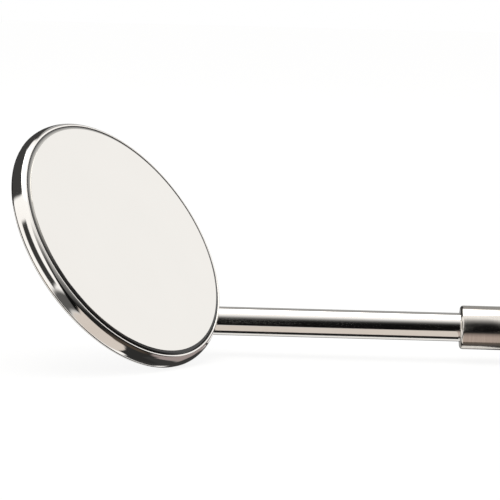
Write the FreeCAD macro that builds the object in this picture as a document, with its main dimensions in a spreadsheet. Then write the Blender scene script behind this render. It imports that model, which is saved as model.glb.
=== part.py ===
import FreeCAD, Part
import math
import os
import types

import Sketcher

# A dental mouth mirror of the cone-socket kind: a round glass mirror in a steel rim on a thin
# stem, whose hub screws into the nose of a hollow handle. The instrument lies on a table, on
# its handle and on the edge of its head. Its handle runs along +X and +Z is up.

# Driving dimensions: word, millimetres or degrees, and what it measures.
DIMENSIONS = (
    ("head_diameter", 24.0, "steel rim, outside: head size No. 5"),
    ("rim_width", 0.62, "front of the rim, from its side to the opening of its lip"),
    ("bevel_width", 0.36, "glass bevel that shows inside the lip"),
    ("coating_thickness", 0.05, "reflecting layer, drawn thick enough to be a solid"),
    ("glass_thickness", 1.0, "glass blank"),
    ("bevel_angle", 18.4, "glass bevel, below the face"),
    ("cushion_thickness", 0.42, "bonded disc under the glass"),
    ("cushion_play", 0.05, "between the cushion disc and the cup wall"),
    ("seal_width", 0.08, "sealant between the glass edge and the rim"),
    ("rim_wall", 0.46, "skirt of the rim"),
    ("lip_drop", 0.12, "crest of the lip, below the mirror face"),
    ("lip_width", 0.16, "flat crest of the lip"),
    ("flank_drop", 0.32, "steep flank, from the crest of the lip to the shoulder"),
    ("shoulder_inset", 0.17, "shoulder, inside the side of the rim"),
    ("shoulder_drop", 0.36, "from the shoulder down to the side of the rim"),
    ("cup_thickness", 0.35, "floor of the back cup"),
    ("cup_wall", 0.43, "upright wall of the back cup"),
    ("cup_inset", 0.08, "edge of the back cup, inside the side of the rim"),
    ("cup_edge_height", 0.42, "edge of the back cup below the rim's skirt"),
    ("cup_chamfer", 0.32, "corner of the back cup"),
    ("seam_gap", 0.05, "between the skirt and the edge of the cup"),
    ("mirror_angle", 45.0, "between the mirror's normal and the stem"),
    ("heel_inset", 0.71, "side of the rim to the corner of the bent stem's axis"),
    ("stem_diameter", 2.56, "polished rod"),
    ("stem_length", 23.89, "corner of the bent stem's axis to the front of the hub"),
    ("bend_radius", 3.2, "bend of the stem behind the head, on its axis"),
    ("seat_depth", 0.14, "ground off the stem where it lies on the cup"),
    ("flatten_length", 2.6, "from the round rod to the flat tongue"),
    ("tongue_width", 3.5, "flattened end of the stem"),
    ("tongue_thickness", 1.4, "flattened end of the stem"),
    ("tongue_length", 1.6, "straight part of the tongue, before its round end"),
    ("braze_width", 0.35, "solder showing beside the tongue"),
    ("braze_height", 0.4, "solder rising up the tongue's side"),
    ("braze_slope", 35.0, "lean of the solder's side"),
    ("hub_diameter", 3.9, "turned hub"),
    ("hub_length", 5.0, "hub between its front and its shoulder"),
    ("hub_round", 0.4, "front edge of the hub"),
    ("stem_socket", 4.0, "depth of the hub's bore"),
    ("stem_play", 0.02, "radial, between the stem and the hub's bore"),
    ("cone_diameter", 3.1, "large end of the centring cone"),
    ("cone_length", 0.6, "centring cone"),
    ("thread_diameter", 2.5, "outside of the male thread"),
    ("thread_pitch", 0.45, "one turn of the thread"),
    ("thread_turns", 8.0, "turns until the threads part"),
    ("thread_play", 0.04, "radial, between the male and the female thread"),
    ("stud_chamfer", 0.3, "end of the male thread"),
    ("tap_depth", 0.8, "female thread beyond the end of the male one"),
    ("nose_land", 1.2, "straight front of the nose"),
    ("nose_taper", 9.0, "taper from the hub's diameter to the handle's"),
    ("nose_shoulder", 1.8, "full diameter behind the taper"),
    ("handle_diameter", 6.0, "hollow handle"),
    ("tube_wall", 0.6, "wall of the handle tube"),
    ("tube_length", 107.0, "handle tube"),
    ("tube_chamfer", 0.12, "broken edges of the tube's ends"),
    ("shank_length", 8.0, "nose pressed into the tube"),
    ("plug_shank", 6.0, "end plug pressed into the tube"),
    ("plug_length", 3.0, "end plug outside the tube"),
    ("plug_cone", 1.1, "tapered end of the plug, along the handle"),
    ("plug_flat", 3.4, "flat end of the plug, across"),
    ("grip_start", 3.5, "front of the tube to the first groove"),
    ("grip_length", 42.0, "knurled grip between its two grooves"),
    ("groove_width", 0.7, "relief groove at each end of the grip"),
    ("groove_depth", 0.18, "relief groove at each end of the grip"),
)
SAME = 1e-4
ALONG = FreeCAD.Vector(1, 0, 0)
UP = FreeCAD.Vector(0, 0, 1)


class Size:
    """A length or an angle: its value, and the sheet expression that gives it."""

    def __init__(self, value, text):
        self.value = value
        self.text = text

    def __add__(self, other):
        other = as_size(other)
        return Size(self.value + other.value, f"({self.text} + {other.text})")

    def __sub__(self, other):
        other = as_size(other)
        return Size(self.value - other.value, f"({self.text} - {other.text})")

    def __mul__(self, other):
        other = as_size(other)
        return Size(self.value * other.value, f"({self.text} * {other.text})")

    def __truediv__(self, other):
        other = as_size(other)
        return Size(self.value / other.value, f"({self.text} / {other.text})")

    def __neg__(self):
        return Size(-self.value, f"(-1 * {self.text})")


def as_size(number):
    """The number itself as a Size; a Size stays as it is."""
    if isinstance(number, Size):
        return number
    return Size(float(number), str(float(number)))


def sine(angle):
    return Size(math.sin(math.radians(angle.value)), f"sin({angle.text})")


def cosine(angle):
    return Size(math.cos(math.radians(angle.value)), f"cos({angle.text})")


def tangent(angle):
    return Size(math.tan(math.radians(angle.value)), f"tan({angle.text})")


def write_sheet(doc):
    """The sheet of driving dimensions; returns one Size for each."""
    sheet = doc.addObject("Spreadsheet::Sheet", "Dimensions")
    for row, (word, value, meaning) in enumerate(DIMENSIONS, 1):
        sheet.set(f"A{row}", str(value))
        sheet.setAlias(f"A{row}", word)
        sheet.set(f"B{row}", meaning)
    doc.recompute()
    sizes = {}
    for word, _, _ in DIMENSIONS:
        sizes[word] = Size(float(sheet.get(word)), f"Dimensions.{word}")
    return types.SimpleNamespace(**sizes)


def bind(feature, name, size):
    """Set a feature's size and tie it to the sheet."""
    size = as_size(size)
    setattr(feature, name, size.value)
    feature.setExpression(name, size.text)


def new_body(doc, label):
    body = doc.addObject("PartDesign::Body", label)
    body.Label = label
    return body


def attach(feature, body, plane_role):
    """Put a sketch or a solid of the body on one of the body's own origin planes."""
    plane = next(f for f in body.Origin.OriginFeatures if f.Role == plane_role)
    feature.AttachmentSupport = (plane, [""])
    feature.MapMode = "FlatFace"


def new_sketch(body, name, plane_role):
    """An empty sketch on one of the body's own origin planes."""
    sketch = body.newObject("Sketcher::SketchObject", f"{body.Label}_{name}")
    attach(sketch, body, plane_role)
    return sketch


def hold_point(sketch, edge, end, across, up):
    """Hold one end of a sketch edge at two sizes; a size of None puts it on that axis."""
    for kind, size, axis in (("DistanceX", across, -2), ("DistanceY", up, -1)):
        if size is None:
            sketch.addConstraint(Sketcher.Constraint("PointOnObject", edge, end, axis))
            continue
        rule = Sketcher.Constraint(kind, -1, 1, edge, end, size.value)
        number = sketch.addConstraint(rule)
        sketch.setExpression(f"Constraints[{number}]", size.text)


def hold_length(sketch, kind, edges, size):
    """Hold a radius or a distance of one sketch edge at a size."""
    number = sketch.addConstraint(Sketcher.Constraint(kind, *edges, size.value))
    sketch.setExpression(f"Constraints[{number}]", size.text)


def point(across, up):
    """A sketch point as a vector; None is the axis."""
    return FreeCAD.Vector(across.value if across else 0.0, up.value if up else 0.0, 0.0)


def draw_outline(sketch, corners):
    """A closed outline of straight sides, with every corner held at its own sizes."""
    first = sketch.GeometryCount
    count = len(corners)
    for number, corner in enumerate(corners):
        following = corners[(number + 1) % count]
        sketch.addGeometry(Part.LineSegment(point(*corner), point(*following)), False)
    for number in range(count):
        following = first + (number + 1) % count
        joined = Sketcher.Constraint("Coincident", first + number, 2, following, 1)
        sketch.addConstraint(joined)
    for number, corner in enumerate(corners):
        hold_point(sketch, first + number, 1, *corner)


def turned_body(doc, label, corners, axis):
    """A body turned from one outline. About V_Axis the outline holds (radius, height);
    about H_Axis it holds (length, radius)."""
    body = new_body(doc, label)
    sketch = new_sketch(body, "outline", "XZ_Plane")
    draw_outline(sketch, corners)
    turning = body.newObject("PartDesign::Revolution", f"{label}_turning")
    turning.Profile = sketch
    turning.ReferenceAxis = (sketch, [axis])
    turning.Angle = 360
    doc.recompute()
    return body


def ring_edges(body, place, radius, axis):
    """Names of the body's round edges of this radius at this place along the axis."""
    names = []
    for number, edge in enumerate(body.Tip.Shape.Edges, 1):
        curve = edge.Curve
        if not isinstance(curve, Part.Circle):
            continue
        off_radius = abs(curve.Radius - radius.value)
        off_place = abs(curve.Center.dot(axis) - place.value)
        if max(off_radius, off_place) < SAME:
            names.append(f"Edge{number}")
    return names


def soften(doc, body, kind, name, edges, size):
    """Round (Fillet) or break (Chamfer) the named edges of the body."""
    base = body.Tip
    feature = body.newObject(f"PartDesign::{kind}", f"{body.Label}_{name}")
    feature.Base = (base, edges)
    bind(feature, "Radius" if kind == "Fillet" else "Size", size)
    doc.recompute()


# Head. In its own frame the back of the cup lies at height 0 and the mirror faces +Z.


def head_sizes(d):
    """Sizes that several pieces of the head share, worked out from the sheet."""
    h = types.SimpleNamespace()
    h.rim_radius = d.head_diameter / 2
    h.skirt_bore = h.rim_radius - d.rim_wall
    h.glass_radius = h.skirt_bore - d.seal_width
    h.lip_radius = h.rim_radius - d.rim_width
    h.face_radius = h.lip_radius - d.bevel_width
    h.cup_radius = h.rim_radius - d.cup_inset
    h.cup_bore = h.skirt_bore - d.cup_wall
    h.glass_back = d.cup_thickness + d.cushion_thickness
    h.glass_front = h.glass_back + d.glass_thickness
    h.face = h.glass_front + d.coating_thickness
    h.skirt_end = d.cup_edge_height + d.seam_gap
    h.bevel_slope = tangent(d.bevel_angle)
    h.crest = h.face - d.lip_drop
    h.shoulder_radius = h.rim_radius - d.shoulder_inset
    h.shoulder = h.crest - d.flank_drop
    h.flank = h.shoulder - d.shoulder_drop
    return h


def bevel_height(h, radius):
    """Height of the glass bevel's cone at a radius."""
    return h.glass_front - (radius - h.face_radius) * h.bevel_slope


def reflective_coating(doc, d, h):
    corners = (
        (None, h.glass_front),
        (h.face_radius, h.glass_front),
        (h.face_radius, h.face),
        (None, h.face),
    )
    return turned_body(doc, "reflective_coating", corners, "V_Axis")


def mirror_glass(doc, d, h):
    corners = (
        (None, h.glass_back),
        (h.glass_radius, h.glass_back),
        (h.glass_radius, bevel_height(h, h.glass_radius)),
        (h.face_radius, h.glass_front),
        (None, h.glass_front),
    )
    return turned_body(doc, "mirror_glass", corners, "V_Axis")


def edge_seal(doc, d, h):
    corners = (
        (h.glass_radius, h.glass_back),
        (h.skirt_bore, h.glass_back),
        (h.skirt_bore, bevel_height(h, h.skirt_bore)),
        (h.glass_radius, bevel_height(h, h.glass_radius)),
    )
    return turned_body(doc, "edge_seal", corners, "V_Axis")


def cushion_disc(doc, d, h):
    radius = h.cup_bore - d.cushion_play
    corners = (
        (None, d.cup_thickness),
        (radius, d.cup_thickness),
        (radius, h.glass_back),
        (None, h.glass_back),
    )
    return turned_body(doc, "cushion_disc", corners, "V_Axis")


def break_cup_corner(doc, body, d, h):
    corner = ring_edges(body, as_size(0), h.cup_radius, UP)
    soften(doc, body, "Chamfer", "corner", corner, d.cup_chamfer)


def back_cup(doc, d, h):
    """Stamped cup: its wall stands inside the rim's skirt and carries the glass."""
    corners = (
        (None, None),
        (h.cup_radius, None),
        (h.cup_radius, d.cup_edge_height),
        (h.skirt_bore, d.cup_edge_height),
        (h.skirt_bore, h.glass_back),
        (h.cup_bore, h.glass_back),
        (h.cup_bore, d.cup_thickness),
        (None, d.cup_thickness),
    )
    body = turned_body(doc, "back_cup", corners, "V_Axis")
    break_cup_corner(doc, body, d, h)
    return body


def bezel_ring(doc, d, h):
    """Rim: a skirt over the cup, and a lip rolled over the bevel of the glass."""
    corners = (
        (h.lip_radius, bevel_height(h, h.lip_radius)),
        (h.skirt_bore, bevel_height(h, h.skirt_bore)),
        (h.skirt_bore, h.skirt_end),
        (h.rim_radius, h.skirt_end),
        (h.rim_radius, h.flank),
        (h.shoulder_radius, h.shoulder),
        (h.lip_radius + d.lip_width, h.crest),
        (h.lip_radius, h.crest),
    )
    return turned_body(doc, "bezel_ring", corners, "V_Axis")


def head_envelope(doc, d, h):
    """The outside of the whole head as one solid: what the stem is coped to."""
    corners = (
        (None, None),
        (h.cup_radius, None),
        (h.cup_radius, d.cup_edge_height),
        (h.rim_radius, d.cup_edge_height),
        (h.rim_radius, h.flank),
        (h.shoulder_radius, h.shoulder),
        (None, h.shoulder),
    )
    body = turned_body(doc, "head_envelope", corners, "V_Axis")
    break_cup_corner(doc, body, d, h)
    return body


# Stem. It is drawn in the head's frame: it comes in at the mirror angle from +X, bends until
# it runs along the back of the cup, and ends in a flat tongue.


def stem_sizes(d, h):
    """Where the stem's axis bends, and where its tongue begins and ends."""
    s = types.SimpleNamespace()
    s.radius = d.stem_diameter / 2
    s.level = d.seat_depth - s.radius
    s.tongue_level = d.seat_depth - d.tongue_thickness / 2
    turn = as_size(90) - d.mirror_angle
    back_off = d.bend_radius * tangent(turn / 2)
    length = d.stem_length + d.stem_socket
    s.corner = h.rim_radius - d.heel_inset
    s.bend_end = s.corner - back_off
    s.bend_start = s.corner + back_off * sine(d.mirror_angle)
    s.bend_start_level = s.level + back_off * cosine(d.mirror_angle)
    s.end = s.corner + length * sine(d.mirror_angle)
    s.end_level = s.level + length * cosine(d.mirror_angle)
    s.tongue_start = s.bend_end - d.flatten_length
    s.tongue_end = s.tongue_start - d.tongue_length
    s.axis_depth = s.corner / tangent(d.mirror_angle) - s.level
    s.axis_corner = s.corner / sine(d.mirror_angle)
    return s


def axis_sketch(body, d, s):
    """The stem's axis: the bend, then the straight rod."""
    sketch = new_sketch(body, "axis", "XZ_Plane")
    centre = FreeCAD.Vector(s.bend_end.value, s.level.value + d.bend_radius.value, 0)
    circle = Part.Circle(centre, FreeCAD.Vector(0, 0, 1), d.bend_radius.value)
    lowest = -math.pi / 2
    turn = math.radians(90 - d.mirror_angle.value)
    sketch.addGeometry(Part.ArcOfCircle(circle, lowest, lowest + turn), False)
    start = point(s.bend_start, s.bend_start_level)
    sketch.addGeometry(Part.LineSegment(start, point(s.end, s.end_level)), False)
    sketch.addConstraint(Sketcher.Constraint("Coincident", 0, 2, 1, 1))
    hold_point(sketch, 0, 1, s.bend_end, s.level)
    hold_point(sketch, 1, 1, s.bend_start, s.bend_start_level)
    hold_point(sketch, 1, 2, s.end, s.end_level)
    hold_length(sketch, "Radius", (0,), d.bend_radius)
    return sketch


def section_sketch(body, name, place, level):
    """An empty sketch square to the tongue, this far along +X, and its centre point."""
    sketch = new_sketch(body, name, "YZ_Plane")
    sketch.setExpression(".AttachmentOffset.Base.z", place.text)
    return sketch, FreeCAD.Vector(0, level.value, 0)


def round_section(body, name, place, level, radius):
    sketch, centre = section_sketch(body, name, place, level)
    sketch.addGeometry(Part.Circle(centre, FreeCAD.Vector(0, 0, 1), radius.value), False)
    hold_point(sketch, 0, 3, None, level)
    hold_length(sketch, "Radius", (0,), radius)
    return sketch


def oval_section(body, name, place, level, width, height):
    sketch, centre = section_sketch(body, name, place, level)
    side = centre + FreeCAD.Vector(width.value / 2, 0, 0)
    top = centre + FreeCAD.Vector(0, height.value / 2, 0)
    sketch.addGeometry(Part.Ellipse(side, top, centre), False)
    sketch.exposeInternalGeometry(0)
    hold_point(sketch, 0, 3, None, level)
    sketch.addConstraint(Sketcher.Constraint("Horizontal", 1))
    hold_length(sketch, "Distance", (1,), width)
    hold_length(sketch, "Distance", (2,), height)
    return sketch


def tip_sketch(body, d, s):
    """What a die trims off the flattened end: all that lies outside a half circle."""
    sketch = new_sketch(body, "tip", "XY_Plane")
    half = d.tongue_width / 2
    end = s.tongue_end - half
    centre = point(s.tongue_end, None)
    circle = Part.Circle(centre, FreeCAD.Vector(0, 0, 1), half.value)
    quarter = math.pi / 2
    sketch.addGeometry(Part.ArcOfCircle(circle, quarter, 3 * quarter), False)
    corners = ((s.tongue_end, -half), (end, -half), (end, half), (s.tongue_end, half))
    for first, second in zip(corners, corners[1:]):
        sketch.addGeometry(Part.LineSegment(point(*first), point(*second)), False)
    for edge, after in ((0, 1), (1, 2), (2, 3), (3, 0)):
        sketch.addConstraint(Sketcher.Constraint("Coincident", edge, 2, after, 1))
    for end_point in (1, 2):
        sketch.addConstraint(Sketcher.Constraint("Vertical", 0, 3, 0, end_point))
    hold_point(sketch, 0, 3, s.tongue_end, None)
    hold_point(sketch, 2, 1, end, -half)
    hold_point(sketch, 3, 1, end, half)
    hold_length(sketch, "Radius", (0,), half)
    return sketch


def stem_rod(doc, d, s):
    """Round rod swept round its bend, then flattened to an oval tongue with a round tip."""
    body = new_body(doc, "stem_rod")
    axis = axis_sketch(body, d, s)
    rod = round_section(body, "rod", s.bend_end, s.level, s.radius)
    oval = (s.tongue_level, d.tongue_width, d.tongue_thickness)
    flat = oval_section(body, "flat", s.tongue_start, *oval)
    doc.recompute()
    sweep = body.newObject("PartDesign::AdditivePipe", "stem_rod_sweep")
    sweep.Profile = rod
    sweep.Spine = (axis, ["Edge1", "Edge2"])
    doc.recompute()
    flattening = body.newObject("PartDesign::AdditiveLoft", "stem_rod_flattening")
    flattening.Profile = rod
    flattening.Sections = [flat]
    doc.recompute()
    tongue = body.newObject("PartDesign::Pad", "stem_rod_tongue")
    tongue.Profile = flat
    tongue.Reversed = True
    bind(tongue, "Length", d.tongue_length + d.tongue_width / 2)
    doc.recompute()
    before = body.Shape.Volume
    trim = body.newObject("PartDesign::Pocket", "stem_rod_trim")
    trim.Profile = tip_sketch(body, d, s)
    trim.Type = "ThroughAll"
    trim.Midplane = True
    doc.recompute()
    if body.Shape.Volume > before - SAME:
        raise RuntimeError("the tip of the tongue was not trimmed")
    return body


def braze_pad(doc, d, s):
    """The solder before the stem is taken out of it: a low mound with leaning sides."""
    body = new_body(doc, "braze_pad")
    sketch = new_sketch(body, "outline", "XY_Plane")
    half = d.tongue_width / 2 + d.braze_width
    near = s.bend_end
    far = s.tongue_end
    arc_axis = FreeCAD.Vector(0, 0, 1)
    for centre, first in ((near, -math.pi / 2), (far, math.pi / 2)):
        circle = Part.Circle(point(centre, None), arc_axis, half.value)
        sketch.addGeometry(Part.ArcOfCircle(circle, first, first + math.pi), False)
    sketch.addGeometry(Part.LineSegment(point(near, half), point(far, half)), False)
    sketch.addGeometry(Part.LineSegment(point(far, -half), point(near, -half)), False)
    for arc, end, line, start in ((0, 2, 2, 1), (2, 2, 1, 1), (1, 2, 3, 1), (3, 2, 0, 1)):
        sketch.addConstraint(Sketcher.Constraint("Tangent", arc, end, line, start))
    hold_point(sketch, 0, 3, near, None)
    hold_point(sketch, 1, 3, far, None)
    hold_length(sketch, "Radius", (0,), half)
    doc.recompute()
    pad = body.newObject("PartDesign::Pad", "braze_pad_mound")
    pad.Profile = sketch
    pad.Reversed = True
    bind(pad, "Length", d.braze_height)
    bind(pad, "TaperAngle", -d.braze_slope)
    doc.recompute()
    return body


def cut_piece(doc, label, base, tool):
    """A piece that is one solid with another taken out of it."""
    piece = doc.addObject("Part::Cut", label)
    piece.Label = label
    piece.Base = base
    piece.Tool = tool
    doc.recompute()
    return piece


# Hub and handle. They are turned about the stem's axis, which is their X axis, and lengths
# are measured from where the mirror's axis crosses it.


def length_sizes(d, s):
    """Lengths and radii that the hub and the pieces of the handle share."""
    a = types.SimpleNamespace()
    a.hub_front = s.axis_corner + d.stem_length
    a.hub_radius = d.hub_diameter / 2
    a.stud_radius = d.thread_diameter / 2
    a.cone_radius = d.cone_diameter / 2
    a.shoulder = a.hub_front + d.hub_length
    a.thread_start = a.shoulder + d.cone_length
    a.thread_end = a.thread_start + d.thread_turns * d.thread_pitch
    a.handle_radius = d.handle_diameter / 2
    a.tube_bore = a.handle_radius - d.tube_wall
    a.taper_start = a.shoulder + d.nose_land
    a.taper_end = a.taper_start + d.nose_taper
    a.tube_start = a.taper_end + d.nose_shoulder
    a.tube_end = a.tube_start + d.tube_length
    a.tail = a.tube_end + d.plug_length
    return a


def threaded_hub(doc, d, a):
    """Hub with a blind bore for the stem, a centring cone and the male thread's stud."""
    bore = d.stem_diameter / 2 + d.stem_play
    bore_end = a.hub_front + d.stem_socket
    corners = (
        (a.hub_front, bore),
        (a.hub_front, a.hub_radius),
        (a.shoulder, a.hub_radius),
        (a.shoulder, a.cone_radius),
        (a.thread_start, a.stud_radius),
        (a.thread_end, a.stud_radius),
        (a.thread_end, None),
        (bore_end, None),
        (bore_end, bore),
    )
    body = turned_body(doc, "threaded_hub", corners, "H_Axis")
    front = ring_edges(body, a.hub_front, a.hub_radius, ALONG)
    soften(doc, body, "Fillet", "front", front, d.hub_round)
    end = ring_edges(body, a.thread_end, a.stud_radius, ALONG)
    soften(doc, body, "Chamfer", "end", end, d.stud_chamfer)
    return body


def socket_nose(doc, d, a):
    """Nose of the handle: conical mouth, female thread, and a shank pressed in the tube."""
    bore = a.stud_radius + d.thread_play
    mouth = a.cone_radius + d.thread_play
    drilled = a.thread_end + d.tap_depth
    shank_end = a.tube_start + d.shank_length
    corners = (
        (drilled + bore * tangent(as_size(30)), None),
        (drilled, bore),
        (a.thread_start, bore),
        (a.shoulder, mouth),
        (a.shoulder, a.hub_radius),
        (a.taper_start, a.hub_radius),
        (a.taper_end, a.handle_radius),
        (a.tube_start, a.handle_radius),
        (a.tube_start, a.tube_bore),
        (shank_end, a.tube_bore),
        (shank_end, None),
    )
    body = turned_body(doc, "socket_nose", corners, "H_Axis")
    back = ring_edges(body, a.tube_start, a.handle_radius, ALONG)
    soften(doc, body, "Chamfer", "back", back, d.tube_chamfer)
    return body


def handle_tube(doc, d, a):
    """Hollow handle with a relief groove at each end of its knurled grip."""
    corners = (
        (a.tube_start, a.tube_bore),
        (a.tube_start, a.handle_radius),
        (a.tube_end, a.handle_radius),
        (a.tube_end, a.tube_bore),
    )
    body = turned_body(doc, "handle_tube", corners, "H_Axis")
    for name, place in (("front", a.tube_start), ("back", a.tube_end)):
        edges = ring_edges(body, place, a.handle_radius, ALONG)
        soften(doc, body, "Chamfer", name, edges, d.tube_chamfer)
    before = body.Shape.Volume
    floor = a.handle_radius - d.groove_depth
    start = a.tube_start + d.grip_start
    sketch = new_sketch(body, "relief", "XZ_Plane")
    for place in (start, start + d.groove_width + d.grip_length):
        end = place + d.groove_width
        top = a.handle_radius + d.groove_depth
        draw_outline(sketch, ((place, floor), (end, floor), (end, top), (place, top)))
    doc.recompute()
    relief = body.newObject("PartDesign::Groove", "handle_tube_reliefs")
    relief.Profile = sketch
    relief.ReferenceAxis = (sketch, ["H_Axis"])
    relief.Angle = 360
    doc.recompute()
    if body.Shape.Volume > before - SAME:
        raise RuntimeError("the relief grooves cut nothing")
    return body


def end_plug(doc, d, a):
    """Plug pressed into the tail of the tube, with a tapered end."""
    front = a.tube_end - d.plug_shank
    corners = (
        (front, None),
        (front, a.tube_bore),
        (a.tube_end, a.tube_bore),
        (a.tube_end, a.handle_radius),
        (a.tail - d.plug_cone, a.handle_radius),
        (a.tail, d.plug_flat / 2),
        (a.tail, None),
    )
    body = turned_body(doc, "end_plug", corners, "H_Axis")
    seam = ring_edges(body, a.tube_end, a.handle_radius, ALONG)
    soften(doc, body, "Chamfer", "seam", seam, d.tube_chamfer)
    return body


# Placing. Handle pieces are only shifted; head pieces are turned to the mirror angle and
# rolled about the handle's axis until the head's lower edge touches the table as well.


def resting_roll(d, h, s, a):
    """Roll about the handle's axis, in degrees, at which the head's edge meets the table."""
    edges = (
        (h.cup_radius - d.cup_chamfer, as_size(0)),
        (h.cup_radius, d.cup_chamfer),
        (h.rim_radius, h.skirt_end),
        (h.rim_radius, h.flank),
        (h.shoulder_radius, h.shoulder),
    )
    leans = []
    for radius, height in edges:
        depth = s.axis_depth.value + height.value
        drop = -a.handle_radius.value / math.hypot(depth, radius.value)
        leans.append(math.acos(drop) - math.atan2(radius.value, depth))
    return math.degrees(math.acos(math.cos(min(leans)) / sine(d.mirror_angle).value))


def head_placement(d, h, s, a):
    """From the head's frame to the frame of the handle's axis."""
    tilt = FreeCAD.Rotation(FreeCAD.Vector(0, 1, 0), 90 - d.mirror_angle.value)
    roll = FreeCAD.Rotation(ALONG, resting_roll(d, h, s, a))
    turned = FreeCAD.Placement(FreeCAD.Vector(), roll.multiply(tilt))
    raised = FreeCAD.Placement(UP * s.axis_depth.value, FreeCAD.Rotation())
    return turned.multiply(raised)


def place_pieces(pieces, in_head, placement):
    """Place every piece, with the origin on the table under the middle of the whole."""
    for piece in pieces:
        piece.Placement = placement if piece in in_head else FreeCAD.Placement()
    whole = FreeCAD.BoundBox()
    for piece in pieces:
        whole.add(piece.Shape.optimalBoundingBox(False, False))
    shift = FreeCAD.Vector(-whole.Center.x, -whole.Center.y, -whole.ZMin)
    for piece in pieces:
        moved = FreeCAD.Placement(shift, FreeCAD.Rotation()).multiply(piece.Placement)
        piece.Placement = moved


def check(doc, pieces):
    """Stop if any object of the document failed or any piece is not one valid solid."""
    for thing in doc.Objects:
        if {"Invalid", "Error"} & set(thing.State):
            raise RuntimeError(f"{thing.Label} did not compute: {thing.State}")
    for piece in pieces:
        shape = piece.Shape
        if shape.isNull() or not shape.isValid() or len(shape.Solids) != 1:
            raise RuntimeError(f"{piece.Label} is not one valid solid")


def main():
    doc = FreeCAD.newDocument("mouth_mirror")
    d = write_sheet(doc)
    h = head_sizes(d)
    s = stem_sizes(d, h)
    a = length_sizes(d, s)
    head = [
        reflective_coating(doc, d, h),
        mirror_glass(doc, d, h),
        edge_seal(doc, d, h),
        cushion_disc(doc, d, h),
        back_cup(doc, d, h),
        bezel_ring(doc, d, h),
    ]
    rod = stem_rod(doc, d, s)
    head.append(cut_piece(doc, "stem", rod, head_envelope(doc, d, h)))
    head.append(cut_piece(doc, "braze_fillet", braze_pad(doc, d, s), rod))
    handle = [
        threaded_hub(doc, d, a),
        socket_nose(doc, d, a),
        handle_tube(doc, d, a),
        end_plug(doc, d, a),
    ]
    pieces = head + handle
    place_pieces(pieces, head, head_placement(d, h, s, a))
    doc.recompute()
    check(doc, pieces)
    os.makedirs("parts", exist_ok=True)
    for piece in pieces:
        piece.Shape.exportStep(f"parts/{piece.Label}.step")
        box = piece.Shape.BoundBox
        print(f"{piece.Label}: {piece.Shape.Volume:.2f} mm3, x {box.XMin:.2f} to {box.XMax:.2f}")


main()
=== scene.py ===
# %% [markdown]
# # A dental mouth mirror, dressed in Blender
#
# The instrument is a round glass mirror held in a polished steel rim, brazed to a thin bent
# stem. The stem ends in a hub with a fine male thread, and the hub screws into a slim hollow
# handle with a knurled grip. An engineering model already fixes where every piece lies, so
# this lesson loads that model as a frame and builds a finely finished piece in each place.

# %% Load the frame
import math

import bmesh
import bpy
from mathutils import Matrix, Vector


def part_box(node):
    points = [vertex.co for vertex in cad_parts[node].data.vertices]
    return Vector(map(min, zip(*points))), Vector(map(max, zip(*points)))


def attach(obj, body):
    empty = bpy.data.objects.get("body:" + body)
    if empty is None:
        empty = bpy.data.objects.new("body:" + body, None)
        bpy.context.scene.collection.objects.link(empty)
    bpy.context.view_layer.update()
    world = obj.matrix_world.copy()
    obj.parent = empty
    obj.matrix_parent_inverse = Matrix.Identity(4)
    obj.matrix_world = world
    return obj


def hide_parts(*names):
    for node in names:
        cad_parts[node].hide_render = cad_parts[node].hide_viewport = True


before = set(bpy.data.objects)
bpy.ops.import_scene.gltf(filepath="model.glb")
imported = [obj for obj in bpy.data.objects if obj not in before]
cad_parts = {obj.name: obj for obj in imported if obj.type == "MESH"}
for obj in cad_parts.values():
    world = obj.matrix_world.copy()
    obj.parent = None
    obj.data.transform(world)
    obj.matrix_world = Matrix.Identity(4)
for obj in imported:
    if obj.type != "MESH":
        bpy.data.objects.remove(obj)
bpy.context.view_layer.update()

MM = 0.001

# %% [markdown]
# ## Where the pieces lie
#
# The handle, the hub and the stem share one straight axis along +X, so the middle of the
# hub's box gives its height and its side. The mirror's reflecting layer is a thin flat disc.
# The middle of its box is the disc's centre, and the largest triangle of its mesh faces the
# same way as the mirror does. Two placing matrices follow from that, and each piece can then
# be drawn upright at the origin, in plain millimetres, and moved once at the end.

# %% Find the two axes


def middle(node):
    low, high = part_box(node)
    return (low + high) / 2


def way_a_disc_faces(node):
    """The direction square to a flat disc, taken upwards."""
    largest = max(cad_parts[node].data.polygons, key=lambda face: face.area)
    normal = largest.normal.normalized()
    return normal if normal.z > 0 else -normal


# Heights in the head, from the back of the cup to the mirror's face.
COATING_THICKNESS = 0.05
GLASS_THICKNESS = 1.0
CUP_THICKNESS = 0.35
CUSHION_THICKNESS = 0.42
GLASS_BACK = CUP_THICKNESS + CUSHION_THICKNESS
GLASS_FRONT = GLASS_BACK + GLASS_THICKNESS
FACE = GLASS_FRONT + COATING_THICKNESS

HANDLE_AXIS = middle("threaded_hub")
mirror_middle = middle("reflective_coating")
FACING = way_a_disc_faces("reflective_coating")
head_back = mirror_middle - FACING * (FACE - COATING_THICKNESS / 2) * MM
toward_heel = (Vector((1, 0, 0)) - FACING * FACING.x).normalized()
head_axes = Matrix((toward_heel, FACING.cross(toward_heel), FACING)).transposed()
HEAD_PLACE = Matrix.Translation(head_back) @ head_axes.to_4x4() @ Matrix.Scale(MM, 4)
hub_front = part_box("threaded_hub")[0].x
AXIS_PLACE = (
    Matrix.Translation((0, HANDLE_AXIS.y, HANDLE_AXIS.z))
    @ Matrix.Rotation(math.pi / 2, 4, "Y")
    @ Matrix.Scale(MM, 4)
)
print("mirror faces", [round(v, 3) for v in FACING])
print("angle to the handle:", round(math.degrees(FACING.angle((1, 0, 0))), 2), "degrees")

# %% [markdown]
# ## Helpers for turned pieces
#
# Almost every piece here comes off a lathe or is pressed round, so one half outline spun
# about an axis makes it. A few vertices give the outline and the spin operator turns it.
# Real edges are never razor sharp, and a small bevel is what catches the light, so each
# named ring is bevelled after the spin.

# %% Outline, spin and bevel
FULL_TURN = 2 * math.pi
STEPS = 160
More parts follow.
